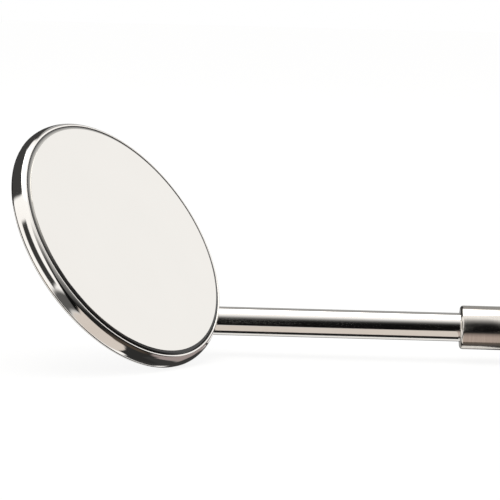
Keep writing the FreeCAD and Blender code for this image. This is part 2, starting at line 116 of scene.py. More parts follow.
# How near two points count as one, and how near a point counts as on a ring.
CLOSE = 1e-4
ON_RING = 5e-4
TURNED_UP = Vector((0, 0, 1))
SHARP = math.radians(32)


def draw_outline(mesh, corners, closed=True):
    """A wire of radius and height pairs in the XZ plane."""
    points = [mesh.verts.new((radius, 0, height)) for radius, height in corners]
    wires = [mesh.edges.new(pair) for pair in zip(points, points[1:])]
    if closed:
        wires.append(mesh.edges.new((points[-1], points[0])))
    return points + wires


def spin_outline(corners, steps=STEPS):
    mesh = bmesh.new()
    bmesh.ops.spin(
        mesh, geom=draw_outline(mesh, corners), cent=(0, 0, 0), axis=TURNED_UP,
        angle=FULL_TURN, steps=steps, use_merge=True,
    )
    bmesh.ops.remove_doubles(mesh, verts=mesh.verts, dist=CLOSE)
    bmesh.ops.dissolve_degenerate(mesh, edges=mesh.edges, dist=CLOSE)
    bmesh.ops.recalc_face_normals(mesh, faces=mesh.faces)
    return mesh


def ring_at(mesh, radius, height):
    """The edges of the circle with this radius and height."""
    def on_ring(vert):
        off_radius = abs(vert.co.xy.length - radius)
        return off_radius < ON_RING and abs(vert.co.z - height) < ON_RING
    return [edge for edge in mesh.edges if all(on_ring(vert) for vert in edge.verts)]


def round_ring(mesh, radius, height, size, segments=3):
    ring = ring_at(mesh, radius, height)
    if not ring:
        raise RuntimeError(f"no ring at radius {radius}, height {height}")
    bmesh.ops.bevel(
        mesh, geom=ring, offset=size, offset_type="OFFSET", segments=segments,
        profile=0.5, affect="EDGES", material=-1,
    )


def open_edges_at(mesh, height):
    """The edges of an opening that lies level at this height."""
    return [
        edge for edge in mesh.edges
        if edge.is_boundary and all(abs(vert.co.z - height) < CLOSE for vert in edge.verts)
    ]


def put_in_scene(name, data):
    item = bpy.data.objects.new(name, data)
    bpy.context.scene.collection.objects.link(item)
    return item


def make_object(name, mesh):
    """Turns a mesh into an object in the scene, and frees the mesh."""
    data = bpy.data.meshes.new(name)
    mesh.to_mesh(data)
    mesh.free()
    return put_in_scene(name, data)


def finish_piece(name, mesh, place, material, body, node):
    """Places the mesh, makes it an object with its material, ties it to its body and hides the
    CAD node it stands for.
    """
    bmesh.ops.transform(mesh, matrix=place, verts=mesh.verts)
    bmesh.ops.recalc_face_normals(mesh, faces=mesh.faces)
    for face in mesh.faces:
        face.smooth = True
    for edge in mesh.edges:
        edge.smooth = len(edge.link_faces) == 2 and edge.calc_face_angle(0) < SHARP
    piece = make_object(name, mesh)
    piece.data.materials.append(material)
    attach(piece, body)
    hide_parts(node)
    weighting = piece.modifiers.new("even_normals", "WEIGHTED_NORMAL")
    weighting.keep_sharp = True
    triangles = sum(len(face.vertices) - 2 for face in piece.data.polygons)
    print(f"{name}: {triangles} triangles on body {body}")


# %% [markdown]
# ## Helpers for materials
#
# Every finish is a node tree. One function adds a node: settings that name a property are
# set on the node, settings that name an input fill it or link to it, and a colour ramp also
# gets its stops. Patterns are laid out in real millimetres on the piece.

# %% Node helper and colours


def colour(code):
    """An sRGB hex value as linear RGBA."""
    def linear(level):
        return level / 12.92 if level <= 0.04045 else ((level + 0.055) / 1.055) ** 2.4
    levels = [int(code[i:i + 2], 16) / 255 for i in (1, 3, 5)]
    return (*map(linear, levels), 1.0)


def add(tree, kind, inputs=None, stops=(), **settings):
    """Adds one node, sets its properties and stops, and fills or links its inputs."""
    node = tree.nodes.new("ShaderNode" + kind)
    for key, value in settings.items():
        setattr(node, key, value)
    for key, value in (inputs or {}).items():
        if isinstance(value, bpy.types.NodeSocket):
            tree.links.new(value, node.inputs[key])
        else:
            node.inputs[key].default_value = value
    if stops:
        elements = node.color_ramp.elements
        while len(elements) < len(stops):
            elements.new(0.5)
        for element, (position, shade) in zip(elements, stops):
            element.position = position
            element.color = shade
    return node


def new_material(name):
    material = bpy.data.materials.new(name)
    material.use_nodes = True
    material.node_tree.nodes.clear()
    return material, material.node_tree


def close_material(tree, surface):
    add(tree, "OutputMaterial", {"Surface": surface})


def grey(level):
    return (level, level, level, 1.0)


def place_in_mm(tree, turn=(0, 0, 0)):
    """The place on the piece in millimetres, turned where a pattern follows an axis."""
    here = add(tree, "TexCoord").outputs["Object"]
    laid = add(tree, "Mapping", {"Vector": here, "Rotation": turn, "Scale": (1 / MM,) * 3})
    return laid.outputs["Vector"]


# %% [markdown]
# ## Polished stainless steel
#
# The rim, the cup and the stem are stainless steel, buffed to a mirror polish. Buffing
# leaves hair-fine lines that the eye reads as a very slightly soft reflection, and handling
# leaves faint cloudy patches where the polish is duller. Noise stretched along one axis
# gives the lines and a broad noise gives the patches.

# %% Polished steel
BUFF_LINE = 0.06
CLOUD_SIZE = 4.0


def polished_steel(name, tint, place, stretch):
    """Steel with buffing lines; stretch gives their length along each axis of place."""
    material, tree = new_material(name)
    local = place_in_mm(tree, place.to_quaternion().inverted().to_euler())
    drawn = add(tree, "Mapping", {"Vector": local, "Scale": stretch}).outputs["Vector"]
    lines = add(
        tree, "TexNoise", {"Vector": drawn, "Scale": 1 / BUFF_LINE, "Detail": 3.0}
    ).outputs["Fac"]
    clouds = add(
        tree, "TexNoise", {"Vector": local, "Scale": 1 / CLOUD_SIZE, "Detail": 4.0}
    ).outputs["Fac"]
    shade = add(
        tree, "ValToRGB", {"Fac": clouds}, ((0.3, colour(tint[0])), (0.7, colour(tint[1])))
    ).outputs["Color"]
    patches = add(
        tree, "MapRange",
        {"Value": clouds, "From Min": 0.3, "From Max": 0.75, "To Min": 0.045, "To Max": 0.1},
    ).outputs["Result"]
    scratches = add(
        tree, "MapRange",
        {"Value": lines, "From Min": 0.3, "From Max": 0.7, "To Min": -0.012, "To Max": 0.02},
    ).outputs["Result"]
    roughness = add(tree, "Math", {0: patches, 1: scratches}, operation="ADD").outputs[0]
    bump = add(tree, "Bump", {"Height": lines, "Strength": 0.05, "Distance": 0.002 * MM})
    surface = add(
        tree, "BsdfPrincipled",
        {"Base Color": shade, "Metallic": 1.0, "Roughness": roughness,
         "Normal": bump.outputs["Normal"]},
    )
    close_material(tree, surface.outputs["BSDF"])
    return material


# Bright enough that the steel's highlights come out nearly as white as what it reflects.
BUFFED = ("#fdfaf5", "#faf5ef")
POLISHED_RIM = polished_steel("polished_stainless_rim", BUFFED, HEAD_PLACE, (0.2, 0.2, 6.0))
POLISHED_STEM = polished_steel("polished_stainless_rod", BUFFED, AXIS_PLACE, (5.0, 5.0, 0.15))
print("polished:", POLISHED_RIM.name, "and", POLISHED_STEM.name)

# %% [markdown]
# ## Turned and satin stainless steel
#
# The hub and the handle are turned on a lathe and left satin. The tool leaves fine rings
# square to the axis. They are drawn as bands along X, coarser than the real 0.02 mm feed so
# that they still show, and they spread the reflection of a lamp across the grain.

# %% Satin steel
TOOL_FEED = 0.09
RING_STRETCH = (1.0, 0.02, 0.02)


def satin_steel(name, tint, soft, fine=1.0):
    """Turned steel: soft is its roughness, and fine below 1 gives shallower rings."""
    material, tree = new_material(name)
    local = place_in_mm(tree)
    squeezed = add(
        tree, "Mapping", {"Vector": local, "Scale": RING_STRETCH}
    ).outputs["Vector"]
    rings = add(
        tree, "TexNoise",
        {"Vector": squeezed, "Scale": 1 / TOOL_FEED, "Detail": 4.0, "Roughness": 0.7},
    ).outputs["Fac"]
    clouds = add(
        tree, "TexNoise", {"Vector": local, "Scale": 0.3, "Detail": 5.0}
    ).outputs["Fac"]
    shade = add(
        tree, "ValToRGB", {"Fac": rings}, ((0.32, colour(tint[0])), (0.68, colour(tint[1])))
    ).outputs["Color"]
    worn = add(
        tree, "MapRange",
        {"Value": clouds, "From Min": 0.3, "From Max": 0.7,
         "To Min": soft - 0.04, "To Max": soft + 0.05},
    ).outputs["Result"]
    bump = add(
        tree, "Bump", {"Height": rings, "Strength": 0.16 * fine, "Distance": 0.008 * MM}
    )
    surface = add(
        tree, "BsdfPrincipled",
        {"Base Color": shade, "Metallic": 1.0, "Roughness": worn,
         "Normal": bump.outputs["Normal"]},
    )
    close_material(tree, surface.outputs["BSDF"])
    return material


SATIN_HUB = satin_steel("turned_stainless_hub", ("#dfd9d0", "#efe9e1"), 0.11, fine=0.2)
SATIN_NOSE = satin_steel("turned_stainless_nose", ("#c0bab1", "#e0dad1"), 0.27)
SATIN_TUBE = satin_steel("drawn_stainless_tube", ("#c7c1ba", "#e5dfd7"), 0.26)
print("satin:", SATIN_HUB.name, SATIN_NOSE.name, "and", SATIN_TUBE.name)

# %% [markdown]
# ## Front-surface mirror
#
# A good mouth mirror has its reflecting layer on the front of the glass, so there is no
# double image. The layer is a vacuum-deposited metal: a metal shader with almost no
# roughness, and the faintest haze where it has been wiped.

# %% Mirror coating


def mirror_coating():
    material, tree = new_material("vacuum_deposited_mirror")
    haze = add(
        tree, "TexNoise", {"Vector": place_in_mm(tree), "Scale": 0.22, "Detail": 5.0}
    ).outputs["Fac"]
    shade = add(
        tree, "ValToRGB", {"Fac": haze}, ((0.35, colour("#f1eee9")), (0.7, colour("#f0ede8")))
    ).outputs["Color"]
    roughness = add(
        tree, "MapRange",
        {"Value": haze, "From Min": 0.35, "From Max": 0.8, "To Min": 0.0, "To Max": 0.012},
    ).outputs["Result"]
    surface = add(
        tree, "BsdfPrincipled", {"Base Color": shade, "Metallic": 1.0, "Roughness": roughness}
    )
    close_material(tree, surface.outputs["BSDF"])
    return material


MIRROR_COATING = mirror_coating()
print("mirror:", MIRROR_COATING.name)

# %% [markdown]
# ## Ground glass
#
# Round the mirror's edge the bare ground bevel of the glass shows, nearly black because it
# lies over a black bed. The silver doesn't stop on a sharp line everywhere: on one side of
# the head it thins out over the inner part of the bevel. So a metal shader is mixed over
# the glass there, by the distance from the mirror's middle and by the way round it.

# %% Where the silver thins out
RIM_RADIUS = 12.0
LIP_WIDTH = 0.62
BEVEL_WIDTH = 0.36
LIP_RADIUS = RIM_RADIUS - LIP_WIDTH
FACE_RADIUS = LIP_RADIUS - BEVEL_WIDTH
# The silver fades over this width. Towards SILVER_TURN, counted round from the heel, it
# starts and is strongest this far from the mirror's middle.
SILVER_WIDTH = 0.3
SILVER_TURN = math.radians(150)
SILVER_FROM = 1.6
SILVER_FULL = 6.5
SILVER_MOST = 0.8


def silver_share(tree, place):
    """How much silver lies on the bevel; it grows towards SILVER_TURN from the heel."""
    from_middle = add(
        tree, "VectorMath", {0: place, 1: tuple(mirror_middle / MM)}, operation="SUBTRACT"
    ).outputs["Vector"]
    radius = add(tree, "VectorMath", {0: from_middle}, operation="LENGTH").outputs["Value"]
    near_face = add(
        tree, "MapRange",
        {"Value": radius, "From Min": FACE_RADIUS, "From Max": FACE_RADIUS + SILVER_WIDTH,
         "To Min": 1.0, "To Max": 0.0},
    ).outputs["Result"]
    toward = head_axes @ Vector((math.cos(SILVER_TURN), math.sin(SILVER_TURN), 0))
    along = add(
        tree, "VectorMath", {0: from_middle, 1: tuple(toward)}, operation="DOT_PRODUCT"
    ).outputs["Value"]
    on_side = add(
        tree, "MapRange",
        {"Value": along, "From Min": SILVER_FROM, "From Max": SILVER_FULL,
         "To Min": 0.0, "To Max": SILVER_MOST},
    ).outputs["Result"]
    return add(tree, "Math", {0: near_face, 1: on_side}, operation="MULTIPLY").outputs[0]


# %% Glass


def dark_glass():
    material, tree = new_material("ground_mirror_glass")
    local = place_in_mm(tree)
    grit = add(tree, "TexNoise", {"Vector": local, "Scale": 14.0, "Detail": 3.0}).outputs["Fac"]
    shade = add(
        tree, "ValToRGB", {"Fac": grit}, ((0.3, colour("#0b0a09")), (0.7, colour("#141210")))
    ).outputs["Color"]
    roughness = add(
        tree, "MapRange",
        {"Value": grit, "From Min": 0.3, "From Max": 0.7, "To Min": 0.05, "To Max": 0.11},
    ).outputs["Result"]
    bump = add(tree, "Bump", {"Height": grit, "Strength": 0.1, "Distance": 0.01 * MM})
    bare = add(
        tree, "BsdfPrincipled",
        {"Base Color": shade, "Roughness": roughness, "IOR": 1.52,
         "Normal": bump.outputs["Normal"]},
    )
    silver = add(
        tree, "BsdfPrincipled",
        {"Base Color": colour("#dddad4"), "Metallic": 1.0, "Roughness": 0.05},
    )
    mixed = add(
        tree, "MixShader",
        {"Fac": silver_share(tree, local), 1: bare.outputs["BSDF"], 2: silver.outputs["BSDF"]},
    )
    close_material(tree, mixed.outputs["Shader"])
    return material


DARK_GLASS = dark_glass()
print("glass:", DARK_GLASS.name)

# %% [markdown]
# ## Rubber and solder
#
# The bead and the bed of the glass are black silicone and a bonded rubber disc, both matt
# with fine pores. Silver solder is a pale, slightly warm metal. It froze where it flowed, so
# its surface is softly rippled and duller than the buffed steel round it.

# %% Sealant, cushion and solder


def black_rubber(name, grain, soft):
    material, tree = new_material(name)
    pores = add(
        tree, "TexNoise", {"Vector": place_in_mm(tree), "Scale": 1 / grain, "Detail": 4.0}
    ).outputs["Fac"]
    shade = add(
        tree, "ValToRGB", {"Fac": pores}, ((0.3, colour("#0c0c0d")), (0.7, colour("#1a1a1b")))
    ).outputs["Color"]
    bump = add(tree, "Bump", {"Height": pores, "Strength": 0.3, "Distance": 0.02 * MM})
    surface = add(
        tree, "BsdfPrincipled",
        {"Base Color": shade, "Roughness": soft, "IOR": 1.42, "Normal": bump.outputs["Normal"]},
    )
    close_material(tree, surface.outputs["BSDF"])
    return material


def silver_solder():
    material, tree = new_material("silver_solder")
    flow = add(
        tree, "TexNoise",
        {"Vector": place_in_mm(tree), "Scale": 1.6, "Detail": 4.0, "Distortion": 0.6},
    ).outputs["Fac"]
    shade = add(
        tree, "ValToRGB", {"Fac": flow}, ((0.3, colour("#e0d9c7")), (0.7, colour("#f6f1e3")))
    ).outputs["Color"]
    roughness = add(
        tree, "MapRange",
        {"Value": flow, "From Min": 0.3, "From Max": 0.7, "To Min": 0.16, "To Max": 0.34},
    ).outputs["Result"]
    bump = add(tree, "Bump", {"Height": flow, "Strength": 0.25, "Distance": 0.05 * MM})
    surface = add(
        tree, "BsdfPrincipled",
        {"Base Color": shade, "Metallic": 1.0, "Roughness": roughness,
         "Normal": bump.outputs["Normal"]},
    )
    close_material(tree, surface.outputs["BSDF"])
    return material


SEALANT = black_rubber("black_silicone_sealant", 0.08, 0.42)
CUSHION = black_rubber("black_bonded_cushion", 0.25, 0.7)
SOLDER = silver_solder()
print("bed and joint:", SEALANT.name, CUSHION.name, "and", SOLDER.name)

# %% [markdown]
# ## The glass and its reflecting face
#
# The glass is a flat disc with a ground bevel that leans back under the rim's lip. Its face
# carries the reflecting layer, which stops where the bevel starts. Both are spun outlines.

# %% Glass and coating
RIM_WALL = 0.46
SKIRT_BORE = RIM_RADIUS - RIM_WALL
SEAL_WIDTH = 0.08
GLASS_RADIUS = SKIRT_BORE - SEAL_WIDTH
BEVEL_SLOPE = math.tan(math.radians(18.4))


def bevel_height(radius):
    """Height of the glass's bevelled face at this radius."""
    return GLASS_FRONT - (radius - FACE_RADIUS) * BEVEL_SLOPE


glass = spin_outline((
    (0, GLASS_BACK), (GLASS_RADIUS, GLASS_BACK), (GLASS_RADIUS, bevel_height(GLASS_RADIUS)),
    (FACE_RADIUS, GLASS_FRONT), (0, GLASS_FRONT),
))
round_ring(glass, GLASS_RADIUS, GLASS_BACK, 0.08)
round_ring(glass, GLASS_RADIUS, bevel_height(GLASS_RADIUS), 0.03)
finish_piece("bevelled_glass", glass, HEAD_PLACE, DARK_GLASS, "head", "mirror_glass")

coating = spin_outline((
    (0, GLASS_FRONT), (FACE_RADIUS, GLASS_FRONT), (FACE_RADIUS, FACE), (0, FACE),
))
round_ring(coating, FACE_RADIUS, FACE, 0.02, segments=2)
finish_piece(
    "mirror_face", coating, HEAD_PLACE, MIRROR_COATING, "head",
    "reflective_coating",
)

# %% [markdown]
# ## Cushion and sealant
#
# A black disc beds the glass in the cup, and a bead of black sealant fills the gap between
# the glass and the rim. A thin line of the bead is squeezed out along the lip, and it is
# what draws the dark line round the mirror.

# %% Cushion and sealant
CUP_WALL = 0.43
CUSHION_PLAY = 0.05
CUP_BORE = SKIRT_BORE - CUP_WALL
CUSHION_RADIUS = CUP_BORE - CUSHION_PLAY
cushion = spin_outline((
    (0, CUP_THICKNESS), (CUSHION_RADIUS, CUP_THICKNESS), (CUSHION_RADIUS, GLASS_BACK),
    (0, GLASS_BACK),
))
for height in (CUP_THICKNESS, GLASS_BACK):
    round_ring(cushion, CUSHION_RADIUS, height, 0.1)
finish_piece("bed_disc", cushion, HEAD_PLACE, CUSHION, "head", "cushion_disc")

# The bead is squeezed out past the lip, and its free face swells a little.
BEAD_REACH = 0.05
BEAD_PROUD = 0.002
BEAD_FOOT = 0.004
BEAD_SWELL = 0.022
bead_top = bevel_height(LIP_RADIUS)
bead_tip = LIP_RADIUS - BEAD_REACH
bead = spin_outline((
    (GLASS_RADIUS, GLASS_BACK), (SKIRT_BORE, GLASS_BACK), (SKIRT_BORE, bevel_height(SKIRT_BORE)),
    (LIP_RADIUS, bead_top + BEAD_FOOT), (LIP_RADIUS, bead_top + BEAD_SWELL),
    (bead_tip, bevel_height(bead_tip) + BEAD_PROUD),
    (GLASS_RADIUS, bevel_height(GLASS_RADIUS) + BEAD_PROUD),
))
finish_piece("sealant_bead", bead, HEAD_PLACE, SEALANT, "head", "edge_seal")

# %% [markdown]
# ## The cup and the rim
#
# The cup is stamped from sheet, so its back corner is a generous radius. The rim is a second
# ring whose skirt covers the cup's wall and whose lip is rolled over the glass. Between the
# two a hairline seam runs right round the head. The rim's side isn't quite straight: it is
# slightly crowned by the rolling, and that crown bends its reflections into long streaks.

# %% Cup
CUP_INSET = 0.08
CUP_RADIUS = RIM_RADIUS - CUP_INSET
CUP_EDGE = 0.4
CORNER_WIDTH = 1.0
CORNER_ROWS = 12


def pressed_corner():
    """Quarter of an oval, from the flat back of the cup up to the edge of its wall."""
    rows = []
    for row in range(CORNER_ROWS + 1):
        angle = row / CORNER_ROWS * math.pi / 2
        inset = CORNER_WIDTH * (1 - math.sin(angle))
        rows.append((CUP_RADIUS - inset, CUP_EDGE * (1 - math.cos(angle))))
    return rows


corner = pressed_corner()
cup = spin_outline((
    (0, 0), *corner, (SKIRT_BORE, CUP_EDGE), (SKIRT_BORE, GLASS_BACK), (CUP_BORE, GLASS_BACK),
    (CUP_BORE, CUP_THICKNESS), (0, CUP_THICKNESS),
))
finish_piece("stamped_cup", cup, HEAD_PLACE, POLISHED_RIM, "head", "back_cup")

# %% Rim
SEAM_WIDTH = 0.12
SKIRT_END = CUP_EDGE + SEAM_WIDTH
CREST_DROP = 0.12
CREST_WIDTH = 0.16
CREST = FACE - CREST_DROP
CREST_END = LIP_RADIUS + CREST_WIDTH
SHOULDER_INSET = 0.26
SHOULDER_DROP = 0.215
SHOULDER_RADIUS = RIM_RADIUS - SHOULDER_INSET
SHOULDER = CREST - SHOULDER_DROP
CROWN_TOP = math.radians(33)
CROWN_BOTTOM = math.radians(-4.9)
CROWN_ROWS = 10
RIM_STEPS = 200


def crowned_side():
    """Side of the rim, from the skirt's end up to the shoulder, as one shallow arc."""
    arc = (SHOULDER - SKIRT_END) / (math.sin(CROWN_TOP) - math.sin(CROWN_BOTTOM))
    rows = []
    for row in range(CROWN_ROWS + 1):
        lean = CROWN_BOTTOM + row / CROWN_ROWS * (CROWN_TOP - CROWN_BOTTOM)
        radius = SHOULDER_RADIUS + arc * (math.cos(lean) - math.cos(CROWN_TOP))
        rows.append((radius, SHOULDER - arc * (math.sin(CROWN_TOP) - math.sin(lean))))
    return rows


side = crowned_side()
rim = spin_outline((
    (LIP_RADIUS, bevel_height(LIP_RADIUS)), (SKIRT_BORE, bevel_height(SKIRT_BORE)),
    (SKIRT_BORE, SKIRT_END), *side, (CREST_END, CREST), (LIP_RADIUS, CREST),
), steps=RIM_STEPS)
round_ring(rim, CREST_END, CREST, 0.07, segments=5)
round_ring(rim, *side[-1], 0.05, segments=4)
round_ring(rim, *side[0], 0.04, segments=4)
round_ring(rim, LIP_RADIUS, CREST, 0.03)
finish_piece("rolled_rim", rim, HEAD_PLACE, POLISHED_RIM, "head", "bezel_ring")

# %% [markdown]
# ## The stem
#
# The stem is one rod. It runs straight out of the hub, bends 45 degrees just before the
# head, and is then pressed flat into a tongue with a round tip. A circle extruded along the
# straight, spun round the bend and extruded again with scaling makes the whole of it. Where
# it passes the heel of the head it is ground away to the head's own round, which a Boolean
# with the head's envelope cuts exactly.

# %% Stem rod
STEM_RADIUS = 1.28
STEM_LENGTH = 23.89
STEM_SOCKET = 4.0
SEAT_DEPTH = 0.14
STEM_LEVEL = SEAT_DEPTH - STEM_RADIUS
HEEL_INSET = 0.71
corner_at = RIM_RADIUS - HEEL_INSET
BEND_RADIUS = 3.2
BEND_TURN = math.radians(45)
BEND_STEPS = 18
ROD_SEGMENTS = 72
BACK_OFF = BEND_RADIUS * math.tan(BEND_TURN / 2)
bend_end = corner_at - BACK_OFF
TIP_LENGTH = 0.15
print("tongue and stem meet the cup at", round(corner_at, 3), "mm from the mirror's axis")

# %% Loops of the rod


def loops_of(edges):
    return list({vert for edge in edges for vert in edge.verts})


def pull_loop(mesh, edges, shift):
    """Extrudes a loop of edges and moves the new loop; gives back the new edges."""
    made = bmesh.ops.extrude_edge_only(mesh, edges=edges)["geom"]
    new_edges = [item for item in made if isinstance(item, bmesh.types.BMEdge)]
    loop = [edge for edge in new_edges if edge.is_boundary]
    bmesh.ops.translate(mesh, vec=shift, verts=loops_of(loop))
    return loop


def size_loop(mesh, edges, centre, scale):
    space = Matrix.Translation(-Vector(centre))
    bmesh.ops.scale(mesh, vec=scale, space=space, verts=loops_of(edges))


# %% Rod and bend


def bent_rod():
    """The rod from the back of the cup, round the bend, into the hub; and its first loop."""
    mesh = bmesh.new()
    upright = Matrix.Rotation(math.pi / 2, 4, "Y")
    place = Matrix.Translation((bend_end, 0, STEM_LEVEL)) @ upright
    ring = bmesh.ops.create_circle(
        mesh, segments=ROD_SEGMENTS, radius=STEM_RADIUS, matrix=place
    )["verts"]
    start = list({edge for vert in ring for edge in vert.link_edges})
    turned = bmesh.ops.spin(
        mesh, geom=start, cent=(bend_end, 0, STEM_LEVEL + BEND_RADIUS), axis=(0, -1, 0),
        angle=BEND_TURN, steps=BEND_STEPS,
    )["geom_last"]
    rod = [item for item in turned if isinstance(item, bmesh.types.BMEdge)]
    straight = STEM_LENGTH + STEM_SOCKET - BACK_OFF
    away = Vector((math.sin(BEND_TURN), 0, math.cos(BEND_TURN)))
    rod = pull_loop(mesh, rod, away * (straight - TIP_LENGTH))
    rod = pull_loop(mesh, rod, away * TIP_LENGTH)
    bmesh.ops.edgeloop_fill(mesh, edges=rod)
    return mesh, start


# %% Tongue
PRESS_LENGTH = 2.6
TONGUE_LENGTH = 1.6
TONGUE_WIDTH = 3.5
TONGUE_THICKNESS = 1.4
TONGUE_ROWS = 14
TIP_FULLNESS = 0.3


def flattened_to_tongue(mesh, loop):
    """Carries the rod on from a loop: pressed flat, then rounded off at its tip."""
    round_size = STEM_RADIUS * 2
    width, height, level = round_size, round_size, STEM_LEVEL
    where = bend_end

    def next_ring(loop, step, new_width, new_height):
        nonlocal width, height, level, where
        new_level = SEAT_DEPTH - new_height / 2
        loop = pull_loop(mesh, loop, (-step, 0, new_level - level))
        where -= step
        scale = (1, new_width / width, new_height / height)
        size_loop(mesh, loop, (where, 0, new_level), scale)
        width, height, level = new_width, new_height, new_level
        return loop

    for row in range(1, TONGUE_ROWS + 1):
        share = row / TONGUE_ROWS
        ease = share * share * (3 - 2 * share)
        loop = next_ring(
            loop, PRESS_LENGTH / TONGUE_ROWS,
            round_size + ease * (TONGUE_WIDTH - round_size),
            round_size + ease * (TONGUE_THICKNESS - round_size),
        )
    loop = next_ring(loop, TONGUE_LENGTH, TONGUE_WIDTH, TONGUE_THICKNESS)
    reach = 0.0
    for row in range(1, TONGUE_ROWS):
        angle = row / TONGUE_ROWS * math.pi / 2
        new_reach = TONGUE_WIDTH / 2 * math.sin(angle)
        loop = next_ring(
            loop, new_reach - reach, TONGUE_WIDTH * math.cos(angle),
            TONGUE_THICKNESS * math.cos(angle) ** TIP_FULLNESS,
        )
        reach = new_reach
    bmesh.ops.edgeloop_fill(mesh, edges=loop)


# %% Stem cut to the head


def cut_away(mesh, cutter):
    """The mesh with the cutter taken out of it, by an exact Boolean; both are used up."""
    for source in (mesh, cutter):
        bmesh.ops.recalc_face_normals(source, faces=source.faces)
    work = make_object("work", mesh)
    tool = make_object("tool", cutter)
    cut = work.modifiers.new("cut", "BOOLEAN")
    cut.operation = "DIFFERENCE"
    cut.solver = "EXACT"
    cut.object = tool
    graph = bpy.context.evaluated_depsgraph_get()
    data = bpy.data.meshes.new_from_object(work.evaluated_get(graph))
    result = bmesh.new()
    result.from_mesh(data)
    for item in (work, tool):
        bpy.data.objects.remove(item)
    print("cut leaves", len(result.faces), "faces")
    return result


def head_envelope():
    """The outside of cup and rim together, as one closed shape."""
    return spin_outline((
        (0, 0), *corner, (CUP_RADIUS, SKIRT_END), *side, (CREST_END, CREST), (0, CREST),
    ))


stem, first_loop = bent_rod()
flattened_to_tongue(stem, first_loop)
whole_stem = stem.copy()
stem = cut_away(stem, head_envelope())
finish_piece("bent_stem", stem, HEAD_PLACE, POLISHED_STEM, "head", "stem")

# %% [markdown]
# ## The solder
#
# Silver solder wets the cup and climbs the tongue's sides, so it leaves a hollow-sided pool
# round it. A circle pulled out to the tongue's length gives the pool's edge, and loops that
# draw in faster at first give the hollow side. The stem is then taken out of the pool.

# %% Solder pool
SOLDER_WIDTH = 0.35
SOLDER_HEIGHT = 0.4
POOL_ROWS = 7
POOL_SEGMENTS = 64
STEM_COVER = 0.97
pool_radius = TONGUE_WIDTH / 2 + SOLDER_WIDTH
tongue_end = bend_end - PRESS_LENGTH - TONGUE_LENGTH
pool_middle = (bend_end + tongue_end) / 2


def pool_size(row, end):
    """Radius of the pool at this row: it draws in towards its end, faster at first."""
    return pool_radius + (end - pool_radius) * (1 - (1 - row / POOL_ROWS) ** 2)


pool = bmesh.new()
ring = bmesh.ops.create_circle(
    pool, segments=POOL_SEGMENTS, radius=pool_radius, cap_ends=True
)["verts"]
half_segment = Matrix.Rotation(math.pi / POOL_SEGMENTS, 3, "Z")
bmesh.ops.rotate(pool, verts=ring, matrix=half_segment)
near_half = [vert for vert in ring if vert.co.x > 0]
far_half = [vert for vert in ring if vert.co.x < 0]
bmesh.ops.translate(pool, verts=near_half, vec=(bend_end, 0, 0))
bmesh.ops.translate(pool, verts=far_half, vec=(tongue_end, 0, 0))
loop = [edge for edge in pool.edges if edge.is_boundary]
for row in range(1, POOL_ROWS + 1):
    loop = pull_loop(pool, loop, (0, 0, -SOLDER_HEIGHT / POOL_ROWS))
    near_half = [vert for vert in loops_of(loop) if vert.co.x > pool_middle]
    far_half = [vert for vert in loops_of(loop) if vert.co.x <= pool_middle]
    for half, centre, end in (
        (near_half, bend_end, STEM_RADIUS * STEM_COVER), (far_half, tongue_end, TONGUE_WIDTH / 2),
    ):
        shrink = pool_size(row, end) / pool_size(row - 1, end)
        bmesh.ops.scale(
            pool, verts=half, vec=(shrink, shrink, 1),
            space=Matrix.Translation((-centre, 0, 0)),
        )
bmesh.ops.edgeloop_fill(pool, edges=loop)
pool = cut_away(pool, whole_stem)
finish_piece("solder_pool", pool, HEAD_PLACE, SOLDER, "head", "braze_fillet")

# %% [markdown]
# ## The hub and its thread
#
# The hub is turned from bar: a blind bore takes the stem, a short cone centres it in the
# handle, and behind the cone stands an M2.5 thread. A thread is a tooth that climbs one
# pitch in each turn. A row of teeth drawn along the axis and spun one full turn, with that
# climb shared out over the steps, closes on itself: each tooth ends where the next began.

# %% Thread
THREAD_RADIUS = 1.25
PITCH = 0.45
THREAD_TURNS = 8
THREAD_DEPTH = 0.61 * PITCH
THREAD_STEPS = 72
WELD = 1e-3
# A tooth's outline: how far along the pitch each point lies, and whether it is on the crest.
TOOTH = ((0.0, False), (0.38, True), (0.5, True), (0.88, False))
# Teeth beyond the thread's two ends, which the flat ends cut off.
SPARE_BEFORE = 2
SPARE_TEETH = 3


def thread(start, length, crest, root):
    """A closed helical thread between two flat ends."""
    mesh = bmesh.new()
    corners = []
    for tooth in range(math.ceil(length / PITCH) + SPARE_TEETH):
        foot = start + (tooth - SPARE_BEFORE) * PITCH
        for share, on_crest in TOOTH:
            corners.append((crest if on_crest else root, foot + share * PITCH))
    bmesh.ops.spin(
        mesh, geom=draw_outline(mesh, corners, closed=False), cent=(0, 0, 0),
        axis=TURNED_UP, angle=FULL_TURN, steps=THREAD_STEPS, dvec=(0, 0, PITCH / THREAD_STEPS),
    )
    bmesh.ops.remove_doubles(mesh, verts=mesh.verts, dist=WELD)
    for height, way in ((start, -1), (start + length, 1)):
        everything = mesh.verts[:] + mesh.edges[:] + mesh.faces[:]
        bmesh.ops.bisect_plane(
            mesh, geom=everything, plane_co=(0, 0, height), plane_no=(0, 0, way),
            clear_outer=True,
        )
        bmesh.ops.edgeloop_fill(mesh, edges=open_edges_at(mesh, height))
    bmesh.ops.recalc_face_normals(mesh, faces=mesh.faces)
    still_open = sum(edge.is_boundary for edge in mesh.edges)
    print("thread:", len(mesh.faces), "faces,", still_open, "open edges")
    return mesh


def join(mesh, other):
    """Adds another mesh's shell to this one."""
    data = bpy.data.meshes.new("shell")
    other.to_mesh(data)
    other.free()
    mesh.from_mesh(data)
    bpy.data.meshes.remove(data)


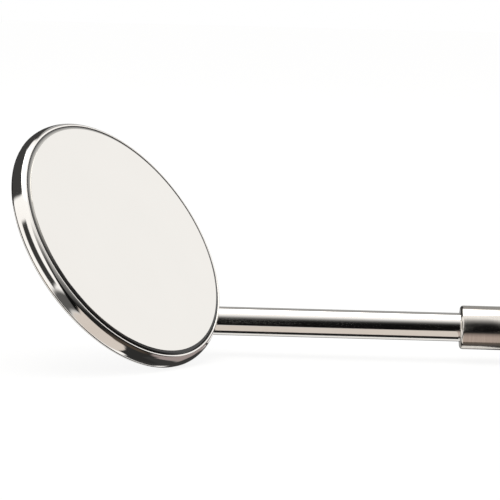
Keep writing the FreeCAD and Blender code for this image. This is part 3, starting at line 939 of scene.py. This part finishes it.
# %% Hub
HUB_RADIUS = 1.95
HUB_LENGTH = 5.0
CONE_RADIUS = 1.55
CONE_LENGTH = 0.6
BORE_PLAY = 0.02
STEM_BORE = STEM_RADIUS + BORE_PLAY
RELIEF_RADIUS = THREAD_RADIUS - THREAD_DEPTH
RELIEF_LENGTH = 0.4
RELIEF_SLOPE = 0.05
STUD_START = 0.3
# The finished front face stands this far before the frame's, nearer the head.
FRONT_LEAD = 0.2
hub_start = hub_front / MM
front = hub_start - FRONT_LEAD
shoulder = hub_start + HUB_LENGTH
thread_start = shoulder + CONE_LENGTH
thread_end = thread_start + THREAD_TURNS * PITCH
bore_end = hub_start + STEM_SOCKET
relief_end = thread_start + RELIEF_LENGTH
hub = spin_outline((
    (STEM_BORE, front), (HUB_RADIUS, front), (HUB_RADIUS, shoulder),
    (CONE_RADIUS, shoulder), (THREAD_RADIUS, thread_start),
    (RELIEF_RADIUS, thread_start + RELIEF_SLOPE), (RELIEF_RADIUS, relief_end),
    (0, relief_end), (0, bore_end), (STEM_BORE, bore_end),
))
round_ring(hub, HUB_RADIUS, front, 0.27, segments=7)
round_ring(hub, STEM_BORE, front, 0.05)
round_ring(hub, HUB_RADIUS, shoulder, 0.06)
stud_start = thread_start + STUD_START
stud = thread(stud_start, thread_end - stud_start, THREAD_RADIUS, RELIEF_RADIUS)
join(hub, stud)
finish_piece("screw_hub", hub, AXIS_PLACE, SATIN_HUB, "hub", "threaded_hub")

# %% [markdown]
# ## The nose of the handle
#
# The nose is turned with a long taper, drilled, given a cone in its mouth and tapped with
# the same thread, so a slightly larger thread is cut out of it. Its shank is pressed into
# the tube, with a fine seam left at the joint.

# %% Nose
HANDLE_RADIUS = 3.0
TUBE_WALL = 0.6
TUBE_BORE = HANDLE_RADIUS - TUBE_WALL
tube_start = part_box("handle_tube")[0].x / MM
tube_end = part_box("handle_tube")[1].x / MM
NOSE_LAND = 1.2
NOSE_BAND = 1.8
taper_start = shoulder + NOSE_LAND
taper_end = tube_start - NOSE_BAND
SHANK_LENGTH = 8.0
shank_end = tube_start + SHANK_LENGTH
THREAD_PLAY = 0.04
TAP_DEPTH = 0.8
DRILL_PLAY = 0.02
DRILL_POINT = math.radians(30)
MOUTH_DEPTH = 0.35
TAP_START = 0.2
TAP_END = 0.3
tap_radius = THREAD_RADIUS + THREAD_PLAY
tap_root = tap_radius - THREAD_DEPTH
drill_radius = tap_root + DRILL_PLAY
drill_end = thread_end + TAP_DEPTH
drill_tip = drill_end + tap_root * math.tan(DRILL_POINT)
mouth_end = thread_start + MOUTH_DEPTH
nose = spin_outline((
    (0, drill_tip), (drill_radius, drill_end), (drill_radius, mouth_end),
    (tap_radius, mouth_end), (tap_radius, thread_start), (CONE_RADIUS + THREAD_PLAY, shoulder),
    (HUB_RADIUS, shoulder), (HUB_RADIUS, taper_start), (HANDLE_RADIUS, taper_end),
    (HANDLE_RADIUS, tube_start), (TUBE_BORE, tube_start), (TUBE_BORE, shank_end),
    (0, shank_end),
))
round_ring(nose, HUB_RADIUS, shoulder, 0.06)
round_ring(nose, HUB_RADIUS, taper_start, 0.8, segments=6)
round_ring(nose, HANDLE_RADIUS, taper_end, 0.8, segments=6)
round_ring(nose, HANDLE_RADIUS, tube_start, 0.12)
tap_length = thread_end + TAP_END - thread_start
tap = thread(thread_start + TAP_START, tap_length, tap_radius, tap_root)
nose = cut_away(nose, tap)
finish_piece(
    "tapered_nose", nose, AXIS_PLACE, SATIN_NOSE, "handle", "socket_nose"
)

# %% [markdown]
# ## The handle
#
# The handle is a drawn tube with a diamond-knurled grip between two relief grooves. A knurl
# wheel presses crossing grooves that leave rows of small flat-topped pyramids. The lattice
# starts as an open cylinder of square cells. Poking each cell and dissolving the old edges
# turns the squares into diamonds, and insetting each diamond with some depth raises it.

# %% Tube
HANDLE_STEPS = 128
GROOVE_WIDTH = 0.7
GROOVE_DEPTH = 0.18
GRIP_SETBACK = 3.5
GRIP_LENGTH = 42.0
groove_floor = HANDLE_RADIUS - GROOVE_DEPTH
front_groove = tube_start + GRIP_SETBACK
grip_start = front_groove + GROOVE_WIDTH
grip_end = grip_start + GRIP_LENGTH
back_groove = grip_end + GROOVE_WIDTH
tube = spin_outline((
    (TUBE_BORE, tube_start), (HANDLE_RADIUS, tube_start), (HANDLE_RADIUS, front_groove),
    (groove_floor, front_groove), (groove_floor, back_groove), (HANDLE_RADIUS, back_groove),
    (HANDLE_RADIUS, tube_end), (TUBE_BORE, tube_end),
), steps=HANDLE_STEPS)
for height in (tube_start, tube_end):
    round_ring(tube, HANDLE_RADIUS, height, 0.12)
for height in (front_groove, back_groove):
    round_ring(tube, HANDLE_RADIUS, height, 0.06)
    round_ring(tube, groove_floor, height, 0.05)

# %% Knurled grip
KNURL_ROUND = 26
KNURL_DEPTH = 0.15
KNURL_INSET = 0.17
KNURL_STRETCH = 1.15
KNURL_SINK = 0.3
knurl_foot = HANDLE_RADIUS - KNURL_DEPTH
knurl_cell = FULL_TURN * HANDLE_RADIUS / KNURL_ROUND
knurl_rows = round(GRIP_LENGTH / knurl_cell / KNURL_STRETCH)
grip = bmesh.new()
wire = [grip.verts.new((knurl_foot, 0, grip_start))]
bmesh.ops.spin(
    grip, geom=wire, cent=(0, 0, 0), axis=TURNED_UP, angle=FULL_TURN, steps=KNURL_ROUND,
    use_merge=True,
)
bmesh.ops.remove_doubles(grip, verts=grip.verts, dist=CLOSE)
loop = list(grip.edges)
for row in range(knurl_rows):
    loop = pull_loop(grip, loop, (0, 0, GRIP_LENGTH / knurl_rows))
square_edges = [edge for edge in grip.edges if not edge.is_boundary]
for vert in bmesh.ops.poke(grip, faces=grip.faces)["verts"]:
    vert.co.xy *= knurl_foot / vert.co.xy.length
bmesh.ops.dissolve_edges(grip, edges=square_edges, use_verts=False)
diamonds = [face for face in grip.faces if len(face.verts) == 4]
bmesh.ops.inset_individual(
    grip, faces=diamonds, thickness=KNURL_INSET, depth=KNURL_DEPTH, use_even_offset=True
)
for vert in grip.verts:
    if vert.co.xy.length > HANDLE_RADIUS:
        vert.co.xy *= HANDLE_RADIUS / vert.co.xy.length
print("knurl:", len(diamonds), "diamonds in", knurl_rows, "rows")

# %% Ends of the grip, turned down to below the grooves
sunk = (groove_floor - KNURL_SINK) / knurl_foot
for end in (grip_start, grip_end):
    inner = pull_loop(grip, open_edges_at(grip, end), (0, 0, 0))
    size_loop(grip, inner, (0, 0, end), (sunk, sunk, 1))
bmesh.ops.bridge_loops(grip, edges=[edge for edge in grip.edges if edge.is_boundary])
finish_piece(
    "knurled_grip", grip, AXIS_PLACE, SATIN_TUBE, "handle", "handle_tube"
)
finish_piece(
    "handle_barrel", tube, AXIS_PLACE, SATIN_TUBE, "handle", "handle_tube"
)

# %% [markdown]
# ## The end plug
#
# A turned plug closes the tail of the tube. Its end tapers to a small flat, with every edge
# eased because it rests in the palm.

# %% Plug
PLUG_SHANK = 6.0
PLUG_LENGTH = 3.0
PLUG_CONE = 1.1
PLUG_FLAT = 1.7
plug_start = tube_end - PLUG_SHANK
tail = tube_end + PLUG_LENGTH
plug = spin_outline((
    (0, plug_start), (TUBE_BORE, plug_start), (TUBE_BORE, tube_end),
    (HANDLE_RADIUS, tube_end), (HANDLE_RADIUS, tail - PLUG_CONE), (PLUG_FLAT, tail), (0, tail),
), steps=HANDLE_STEPS)
round_ring(plug, HANDLE_RADIUS, tube_end, 0.12)
round_ring(plug, HANDLE_RADIUS, tail - PLUG_CONE, 0.45, segments=6)
round_ring(plug, PLUG_FLAT, tail, 0.35, segments=5)
finish_piece("tail_plug", plug, AXIS_PLACE, SATIN_NOSE, "handle", "end_plug")

# %% [markdown]
# ## Floor
#
# The instrument lies on a plain pale floor. The camera sees the floor nearly white, while
# the shadow under the instrument stays, so the floor's shader mixes a lit surface with plain
# white by what kind of ray asks. Steel sees the surroundings below instead of the floor.

# %% Floor
FLOOR_HALF = 3.0
SEEN_WHITE = 0.85
WHITE = grey(1.0)


def floor_material():
    material, tree = new_material("pale_floor")
    path = add(tree, "LightPath").outputs
    lit = add(tree, "BsdfDiffuse", {"Color": colour("#faf9f7")}).outputs["BSDF"]
    white = add(tree, "Emission", {"Color": WHITE}).outputs["Emission"]
    seen = add(tree, "Math", {0: path["Is Camera Ray"], 1: SEEN_WHITE}, operation="MULTIPLY")
    mixed = add(tree, "MixShader", {"Fac": seen.outputs[0], 1: lit, 2: white})
    close_material(tree, mixed.outputs["Shader"])
    return material


floor_mesh = bmesh.new()
bmesh.ops.create_grid(floor_mesh, x_segments=1, y_segments=1, size=FLOOR_HALF)
floor = make_object("floor", floor_mesh)
floor.data.materials.append(floor_material())
floor.visible_glossy = False
print("floor:", FLOOR_HALF * 2, "m square")

# %% [markdown]
# ## Painted shade under the stem and the hub
#
# A polished rod shows its surroundings as stripes along it. The stem and the hub are
# parallel, so everything far away gives them the same stripes, and only what is close by
# tells them apart. The steel doesn't see the floor, so three small cards lie just over it,
# where only reflections see them, painted with the floor's shade: a dark one under the stem
# for its shadow, one under the hub that fades from dark to brown, and a broad one before the
# hub that fades from taupe to dark.

# %% Low cards of painted shade
CARD_LEVEL = 0.3
# Colours of painted shade on the floor as the steel sees it: black for the stem's shadow, taupe
# and umber round the hub.
SHADOW_BLACK = grey(0.016)
TAUPE = colour("#b7a9a2")
UMBER = colour("#6d645d")


def painted_shade_card(name, start, end, near, far, near_shade, far_shade, fade_start, fade_end):
    """A card of painted floor shade under the rod, seen only by reflections, fading between two
    shades.

    near, far and the two ends of the fade are distances in front of the axis, in mm.
    """
    mesh = bmesh.new()
    bmesh.ops.create_grid(mesh, x_segments=1, y_segments=1, size=0.5)
    bmesh.ops.scale(mesh, vec=(end - start, far - near, 1), verts=mesh.verts)
    offset = ((start + end) / 2, HANDLE_AXIS.y / MM - (near + far) / 2, CARD_LEVEL)
    bmesh.ops.translate(mesh, vec=offset, verts=mesh.verts)
    bmesh.ops.scale(mesh, vec=(MM,) * 3, verts=mesh.verts)
    card = make_object(name, mesh)
    material, tree = new_material(name)
    place = add(tree, "TexCoord").outputs["Object"]
    across = add(tree, "SeparateXYZ", {0: place}).outputs["Y"]
    share = add(
        tree, "MapRange",
        {"Value": across, "From Min": HANDLE_AXIS.y - fade_start * MM,
         "From Max": HANDLE_AXIS.y - fade_end * MM},
    ).outputs["Result"]
    shade = add(
        tree, "ValToRGB", {"Fac": share}, ((0.0, near_shade), (1.0, far_shade))
    ).outputs["Color"]
    close_material(tree, add(tree, "Emission", {"Color": shade}).outputs["Emission"])
    card.data.materials.append(material)
    for ray in ("camera", "diffuse", "shadow", "transmission", "volume_scatter"):
        setattr(card, "visible_" + ray, False)
    print(name, "is", end - start, "by", round(far - near, 2), "mm")


STEM_CARD = 22
HUB_CARD = 6
hub_end = front + HUB_CARD
# The stem's painted shadow, and painted shade of the floor under and before the hub.
painted_shade_card("painted_shadow_under_stem", front - STEM_CARD, front, 0.3, 1.45, SHADOW_BLACK, SHADOW_BLACK, 0, 1)
painted_shade_card("painted_shade_under_hub", front, hub_end, 0.88, 2.0, grey(0.062), UMBER, 0.9, 2.0)
painted_shade_card("painted_shade_before_hub", front, hub_end, 2.0, 12, TAUPE, grey(0.02), 3.7, 8.6)

# %% [markdown]
# ## Surroundings
#
# Polished steel shows what is round it, so the surroundings are what shape it: a white tent
# of strength 1, with dark, beige and pinkish cards hung in it. The cards are painted on the
# world by direction, each with soft edges, and only reflections see them. Below the horizon
# they stand for the floor, which the steel doesn't see: the beige is the floor, and the dark
# and brown cards there are painted shade on it. The camera and the light on matt surfaces
# get plain white.

# %% One card in the tent


def hang_card(tree, picture, place, middle_at, half_size, shade, soft, lean):
    """Paints a soft-edged card over the picture; all its sizes are degrees seen."""
    laid = add(
        tree, "Mapping",
        {"Vector": place, "Location": (*middle_at, 0), "Rotation": (0, 0, math.radians(lean)),
         "Scale": (*half_size, 1)},
        vector_type="TEXTURE",
    ).outputs["Vector"]
    parts = add(tree, "SeparateXYZ", {"Vector": laid}).outputs
    inside = [
        add(
            tree, "MapRange",
            {"Value": add(tree, "Math", {0: parts[axis]}, operation="ABSOLUTE").outputs[0],
             "From Min": 1 - soft / half, "From Max": 1 + soft / half,
             "To Min": 1.0, "To Max": 0.0},
            interpolation_type="SMOOTHSTEP",
        ).outputs["Result"]
        for axis, half in zip("XY", half_size)
    ]
    cover = add(tree, "Math", {0: inside[0], 1: inside[1]}, operation="MULTIPLY").outputs[0]
    return add(tree, "MixRGB", {"Fac": cover, "Color1": picture, "Color2": shade}).outputs[0]


# %% Directions in degrees


def way_seen(tree):
    """Two vectors of the turn and rise seen, in degrees, and the rise alone.

    The turn is 0 at the front, which is -Y, and grows towards +X. The first vector's turn
    jumps from 180 to -180 at the back, and the second's runs on to 360.
    """
    way = add(tree, "TexCoord").outputs["Generated"]
    parts = add(tree, "SeparateXYZ", {"Vector": way}).outputs
    forward = add(tree, "Math", {0: parts["Y"], 1: -1.0}, operation="MULTIPLY").outputs[0]
    turn = add(tree, "Math", {0: parts["X"], 1: forward}, operation="ARCTAN2").outputs[0]
    rise = add(tree, "Math", {0: parts["Z"]}, operation="ARCSINE").outputs[0]
    turn, rise = (
        add(tree, "Math", {0: angle}, operation="DEGREES").outputs[0] for angle in (turn, rise)
    )
    past_back = add(tree, "Math", {0: turn, 1: 360.0, 2: 0.0}, operation="WRAP").outputs[0]
    front_way, back_way = (
        add(tree, "CombineXYZ", {"X": angle, "Y": rise}).outputs["Vector"]
        for angle in (turn, past_back)
    )
    return front_way, back_way, rise


# %% The tent
BLACK = grey(0.0047)
SOOT = grey(0.027)
CHARCOAL = grey(0.039)
SLATE = grey(0.047)
# A beige floor, a pinkish grey low on the right and a brown painted shade, as linear colours.
SHEET = (0.656, 0.605, 0.5625, 1.0)
PINK_GREY = (0.328, 0.281, 0.277, 1.0)
BROWN = (0.066, 0.052, 0.041, 1.0)
FADE_TOP = 60.0


def surroundings():
    world = bpy.data.worlds.new("white_tent")
    world.use_nodes = True
    tree = world.node_tree
    tree.nodes.clear()
    front_way, back_way, rise = way_seen(tree)
    height = add(
        tree, "MapRange", {"Value": rise, "From Min": 0.0, "From Max": FADE_TOP}
    ).outputs["Result"]
    shadow_side = add(tree, "ValToRGB", {"Fac": height}, (
        (0.2, BLACK), (0.34, grey(0.016)), (0.47, grey(0.059)), (0.6, grey(0.19)),
        (0.74, grey(0.41)), (0.88, grey(0.74)), (1.0, WHITE),
    )).outputs["Color"]
    dim_side = add(tree, "ValToRGB", {"Fac": height}, (
        (0.0, grey(0.016)), (0.1, grey(0.062)), (0.3, grey(0.16)), (0.5, grey(0.31)),
        (0.72, grey(0.62)), (0.9, WHITE),
    )).outputs["Color"]
    # Each card: the turn and rise of its middle, half its width and height, its shade, how
    # soft its edge is, and its lean. A card covers those before it.
    front_cards = (
        ((-22, -85), (47.5, 40), SHEET, 2.5, 24),
        ((43, -59), (43, 30), SHEET, 2.5, 0),
        ((115, -20), (36, 20), PINK_GREY, 6, 0),
        ((-28.4, -31), (44, 10.5), grey(0.1), 4, 24),
        ((-43.5, 8), (15.5, 28), CHARCOAL, 2.5, 37),
        ((20.5, 17), (25, 46), shadow_side, 1.5, 0),
        ((51, 17), (37, 46), dim_side, 3, 0),
        # Painted shade on the floor to the front right.
        ((63, -26), (20, 11), BROWN, 6, 0),
        ((85, 30), (26, 36), shadow_side, 6, 0),
        ((23, -32.7), (19, 12), SHEET, 2, -36),
        # These four are painted shade on the floor to the right of and behind the head.
        ((112, -65), (54, 15), SOOT, 2, 0),
        ((76, -40), (19, 14), SOOT, 3, 0),
        ((117, -46), (28, 9), CHARCOAL, 3, 0),
        ((148, -48), (9.5, 30), CHARCOAL, 2, 0),
    )
    back_cards = (
        ((205, -42), (39, 36), grey(0.78), 3, 0),
        ((205, -24), (39, 18), grey(0.28), 3, 0),
        # Painted shade on the floor behind the head.
        ((165, -28), (10, 14), CHARCOAL, 2, 0),
        ((240.6, 41.6), (50, 25.2), SLATE, 2.5, 45),
        ((197.5, 23), (13.5, 29), SLATE, 2, 0),
        ((168, 24), (16, 33), grey(0.33), 2, 0),
    )
    picture = WHITE
    for way, cards in ((front_way, front_cards), (back_way, back_cards)):
        for card in cards:
            picture = hang_card(tree, picture, way, *card)
    path = add(tree, "LightPath").outputs
    plain = add(
        tree, "Math", {0: path["Is Camera Ray"], 1: path["Is Diffuse Ray"]}, operation="MAXIMUM"
    ).outputs[0]
    shown = add(
        tree, "MixRGB", {"Fac": plain, "Color1": picture, "Color2": WHITE}
    ).outputs[0]
    background = add(tree, "Background", {"Color": shown, "Strength": 1.0})
    add(tree, "OutputWorld", {"Surface": background.outputs["Background"]})
    print("tent with", len(front_cards) + len(back_cards), "cards")
    return world


bpy.context.scene.world = surroundings()

# %% [markdown]
# ## Lamp
#
# The tent lights the instrument evenly. One wide round lamp overhead adds a soft shadow, so
# that the instrument sits on the floor and doesn't seem to float over it.

# %% Overhead lamp
LAMP_PLACE = Vector((-0.1, 0.05, 0.6))
LAMP_AIM = Vector((-0.03, 0, 0))
LAMP_SIZE = 0.5
LAMP_WATTS = 1.2
lamp_data = bpy.data.lights.new("overhead", "AREA")
lamp_data.shape = "DISK"
lamp_data.size = LAMP_SIZE
lamp_data.energy = LAMP_WATTS
lamp = put_in_scene("overhead", lamp_data)
lamp.location = LAMP_PLACE
lamp.rotation_euler = (LAMP_AIM - LAMP_PLACE).to_track_quat("-Z", "Y").to_euler()
print("lamp:", LAMP_SIZE, "m across,", LAMP_WATTS, "W")

# %% [markdown]
# ## The camera
#
# A long lens from about a forearm's length, a few degrees above the table, so that the head
# shows its face and the stem runs off to the side.

# %% Camera
LENS = 187.2
SENSOR = 36.0
CLIP_START = 0.01
FROM_FACE = Vector((15.51, -224.84, 20.85))
CAMERA_TURN = (84.513, -1.392, 1.335)
face_middle = head_back + FACING * FACE * MM
camera_data = bpy.data.cameras.new("camera")
camera_data.lens = LENS
camera_data.sensor_width = SENSOR
camera_data.clip_start = CLIP_START
camera = put_in_scene("camera", camera_data)
camera.location = face_middle + FROM_FACE * MM
camera.rotation_euler = [math.radians(angle) for angle in CAMERA_TURN]
bpy.context.scene.camera = camera
bpy.context.scene.view_settings.view_transform = "Standard"
print("camera:", round(FROM_FACE.length, 1), "mm from the middle of the mirror")
